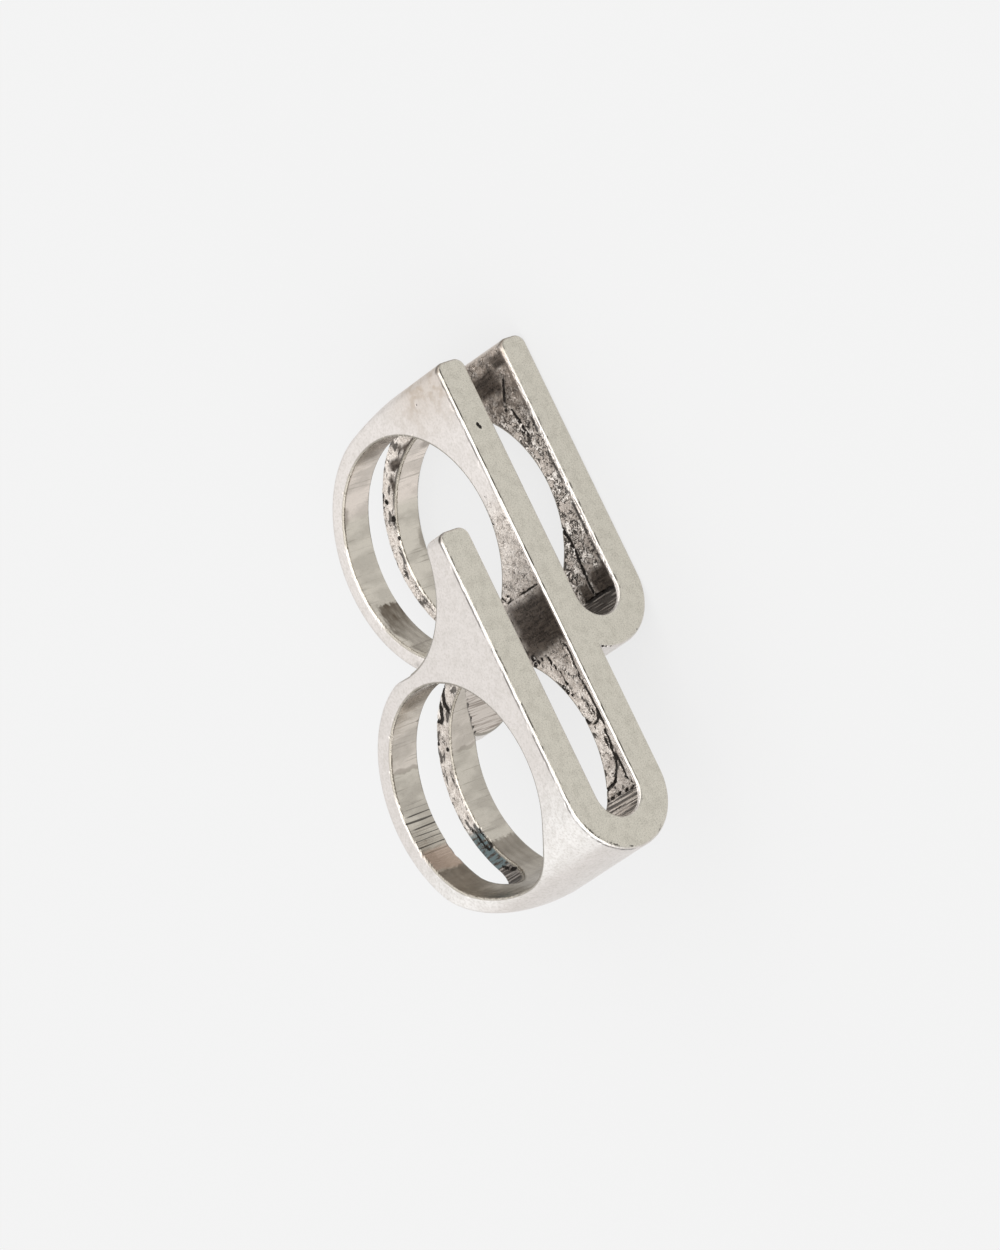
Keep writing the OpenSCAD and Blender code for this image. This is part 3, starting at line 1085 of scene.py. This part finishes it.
def rawColour(at, dark):  # the raw slot sides, with their dark skins, dark tip and ribbed ends
    tone = rawTone
    light = ramp(at.lumps, *tone["lightLumps"]) * blend(at.onRight, *tone["lightLumpStrength"])
    light = light + ramp(at.pepper, *tone["lightPepper"]) * blend(at.onRight, *tone["lightPepperStrength"])
    lumpX, lumpZ = tone["whiteLump"]
    light = light + ramp(distance(at.x - lumpX, at.z - lumpZ), *tone["whiteLumpReach"]) * (at.y < 0.0)
    grime = blend(at.onRight, *tone["grime"])
    grime = grime + (at.x > tone["grimeFrom"]) * (1.0 - at.onRight) * tone["grimeMore"]
    colour = at.mix(light, "raw", "rawLight")
    colour = at.mix(ramp(at.lumps, *tone["lowLumps"]) * grime, colour, "rawShade")
    colour = at.mix(fade(at.grit, *tone["grit"]), colour, "rawShade")
    colour = at.mix(dark, colour, "crevice")
    patchy = at.noise(tone["patchy"])
    nearTip = ramp(at.x + sway(patchy, tone["tipRagged"]), *tone["tipAlong"]) * ramp(at.z, *tone["tipDown"])
    tipColour = at.mix(ramp(patchy, *tone["tipRange"]), "skinLight", "tipRaw")
    colour = at.mix(nearTip * at.onRight * tone["tipStrength"], colour, tipColour)
    colour = at.mix((1.0 - at.calm) * skinTone["strength"], colour, skinColour(at))
    endColour = at.mix(fade(at.lumps, *tone["endLumps"]), "raw", "crevice")
    endShade = most(at.onRight * tone["endOnRight"], (at.z < tone["endLow"]) * tone["endLowShade"])
    return at.mix(at.ends, colour, at.mix(endShade, endColour, "skin"))


skinTone = {
    "streaks": (1.0, 3.0, 0.75),
    "streakStretch": (4.0, 1.0, 0.8),
    "streakRange": (0.35, 0.7),
    "grit": (0.52, 0.66, 0.8),
    "pepper": (0.56, 0.64, 0.8),
    "tealFrom": 28.0,
    "tealBelow": -12.0,
    "tealRange": (0.40, 0.55),
    "strength": 1.17,
}


def skinColour(at):  # the smooth dark skins, bluish low on the second band
    tone = skinTone
    streak = at.streaks(tone["streakStretch"], tone["streaks"])
    isTeal = (at.x > tone["tealFrom"]) * (at.z < tone["tealBelow"])
    colour = at.mix(ramp(streak, *tone["streakRange"]), "skin", "skinLight")
    colour = at.mix(fade(at.grit, *tone["grit"]), colour, "skinLight")
    colour = at.mix(fade(at.pepper, *tone["pepper"]), colour, "crevice")
    return at.mix(isTeal * ramp(streak, *tone["tealRange"]), colour, "teal")


markWear = {
    "foldNoise": (4.0, 2.0),
    "foldRagged": 0.10,
    "foldRange": (0.145, 0.085),
    "lowBefore": 24.0,
    "lowBelow": -14.0,
    "lowWider": 0.06,
    "highBefore": 22.0,
    "highAbove": -8.0,
    "highNarrower": (-0.03, 0.04),  # on the right wall, where it is wider, and on the middle wall
    "pitNoise": (4.0, 1.0),
    "pitRagged": 0.16,
    "pitRange": (-0.05, 0.01),
    "pitLight": (0.09, 0.13),
    "pitLightAbove": -6.0,
}


def castMarks(at):  # the folds and gas holes, and the light that some gas holes catch inside
    wear = markWear
    frayed = at.fold + sway(at.noise(wear["foldNoise"]), wear["foldRagged"])
    low = (at.z < wear["lowBelow"]) * (at.x < wear["lowBefore"])
    high = (at.x < wear["highBefore"]) * (at.z > wear["highAbove"])
    frayed = frayed - low * wear["lowWider"] + high * blend(at.y < 0.0, *wear["highNarrower"])
    pit = at.pit + sway(at.noise(wear["pitNoise"]), wear["pitRagged"])
    lit = ramp(pit, *wear["pitLight"]) * (at.z > wear["pitLightAbove"])
    return most(ramp(frayed, *wear["foldRange"]), ramp(pit, *wear["pitRange"])), lit


texture = {
    "satinSpeckle": 0.08,
    "polishRuled": 0.1,
    "castDark": 0.25,
    "satinHeight": 0.012,
    "pepperHeight": 0.06,
    "creviceDepth": 0.04,
    "endHeight": 0.15,
    "ruledHeight": 0.015,
    "markDepth": 0.06,
}


def makeMaterial():
    material = bpy.data.materials.new("castSilver")
    material.use_nodes = True
    tree = material.node_tree
    shader = tree.nodes["Principled BSDF"]
    at = Surface(tree)
    isRaw = at.raw * (1.0 - at.face) * (1.0 - at.bore) * ramp(at.z, *rawTone["fromFace"])
    dark = rawDark(at)
    marks, lit = castMarks(at)
    colour = edgeColour(at, at.mix(at.face, sideColour(at), shadedFaceColour(at)))
    colour = at.mix(at.bore, colour, boreColour(at))
    colour = at.mix(isRaw, colour, rawColour(at, dark))
    # painted shade that dulls the highlight on the finger-hole rims
    colour = at.mix(rimShadeMask(at) * paintedRimShade["strength"], colour, "boreShade")
    colour = at.mix(marks, colour, "crevice")
    colour = at.mix(lit * isRaw, colour, "rawLight")
    feed(tree, shader.inputs["Base Color"], colour)
    shader.inputs["Metallic"].default_value = 1.0

    satin = finish["satin"] + at.speckle * texture["satinSpeckle"]
    polish = finish["polish"] + at.ruled * texture["polishRuled"]
    rough = blend(isRaw, blend(at.bore, satin, polish), finish["cast"] + dark * texture["castDark"])
    feed(tree, shader.inputs["Roughness"], rough)

    cast = at.pepper * texture["pepperHeight"] * at.calm - at.crevices * texture["creviceDepth"]
    cast = cast + at.lumps * at.ends * texture["endHeight"]
    height = blend(isRaw, at.height * texture["satinHeight"], cast)
    height = blend(at.bore, height, at.ruled * texture["ruledHeight"]) - marks * texture["markDepth"]
    bump = addNode(tree, 'ShaderNodeBump', {"Height": height, "Distance": mm, "Strength": 1.0})
    feed(tree, shader.inputs["Normal"], bump.outputs[0])
    return material


# The sky's stops run from the horizon in front (0) over the top (0.5) to the horizon behind (1)
studio = {
    "floorColour": (0.09, 0.09, 0.09, 1),
    "floorGlow": 0.73,
    "floorRoughness": 0.9,
    "floorRadius": 3.0,
    "floorSides": 96,
    "sky": ((0.0, 0.25), (0.1, 0.35), (0.2, 2.4), (0.62, 2.0), (0.8, 0.95), (1.0, 0.85)),
    "skyStrength": 4.0,
    "leftMore": 1.2,
    "frontRightFrom": 0.25,
    "frontRightLess": 4.0,
    "aim": (0.806, -1.63, 6.34),
    "distance": 447.89,
    "azimuth": 9.438,
    "elevation": 43.54,
    "roll": 109.235,
    "lens": 172.8,
    "sensor": 36,
    "nearest": 0.01,
}


def makeFloor():
    mesh = bpy.data.meshes.new("floor")
    count = studio["floorSides"]
    turns = [2 * math.pi * k / count for k in range(count)]
    radius = studio["floorRadius"]
    rim = [(radius * math.cos(turn), radius * math.sin(turn), 0) for turn in turns]
    mesh.from_pydata(rim, [], [range(count)])
    floor = bpy.data.objects.new("floor", mesh)
    bpy.context.scene.collection.objects.link(floor)
    material = bpy.data.materials.new("paperFloor")
    material.use_nodes = True
    shader = material.node_tree.nodes["Principled BSDF"]
    shader.inputs["Base Color"].default_value = studio["floorColour"]
    shader.inputs["Roughness"].default_value = studio["floorRoughness"]
    shader.inputs["Specular IOR Level"].default_value = 0.0
    shader.inputs["Emission Color"].default_value = (1, 1, 1, 1)
    shader.inputs["Emission Strength"].default_value = studio["floorGlow"]
    mesh.materials.append(material)


def makeLight():
    world = bpy.data.worlds.new("studio")
    bpy.context.scene.world = world
    world.use_nodes = True
    tree = world.node_tree
    tree.nodes.clear()
    way = addNode(tree, 'ShaderNodeTexCoord').outputs["Generated"]
    x, y, z = splitVector(tree, way)
    arc = z.math('ARCTAN2', -y) * (1 / math.pi)
    sky = addNode(tree, 'ShaderNodeValToRGB', {"Fac": arc})
    stops = sky.color_ramp.elements
    stops.remove(stops[0])
    for index, (place, level) in enumerate(studio["sky"]):
        stop = stops[0] if index == 0 else stops.new(place)
        stop.position = place
        share = level / studio["skyStrength"]
        stop.color = (share, share, share, 1)
    strength = studio["skyStrength"] + most(-x, 0.0) * studio["leftMore"]
    frontRight = most(least(x, -y) - studio["frontRightFrom"], 0.0)
    strength = strength - frontRight * studio["frontRightLess"]
    background = addNode(tree, 'ShaderNodeBackground', {"Color": sky.outputs["Color"], "Strength": strength})
    addNode(tree, 'ShaderNodeOutputWorld', {"Surface": background.outputs[0]})


def makeCamera():
    turn = Euler((math.radians(90 - studio["elevation"]), 0, math.radians(-studio["azimuth"]))).to_matrix()
    turn = turn @ Matrix.Rotation(math.radians(-studio["roll"]), 3, 'Z')
    data = bpy.data.cameras.new("camera")
    data.lens = studio["lens"]
    data.sensor_width = studio["sensor"]
    data.clip_start = studio["nearest"]
    camera = bpy.data.objects.new("camera", data)
    bpy.context.scene.collection.objects.link(camera)
    back = turn @ Vector((0, 0, studio["distance"]))
    camera.location = (Vector(studio["aim"]) + back) * mm
    camera.rotation_euler = turn.to_euler()
    bpy.context.scene.camera = camera


scene = bpy.context.scene
scene.view_settings.view_transform = 'Standard'
ring = build(makeMaterial())
print("ring made:", len(ring.data.polygons), "faces")
makeFloor()
makeLight()
makeCamera()
print("studio set")
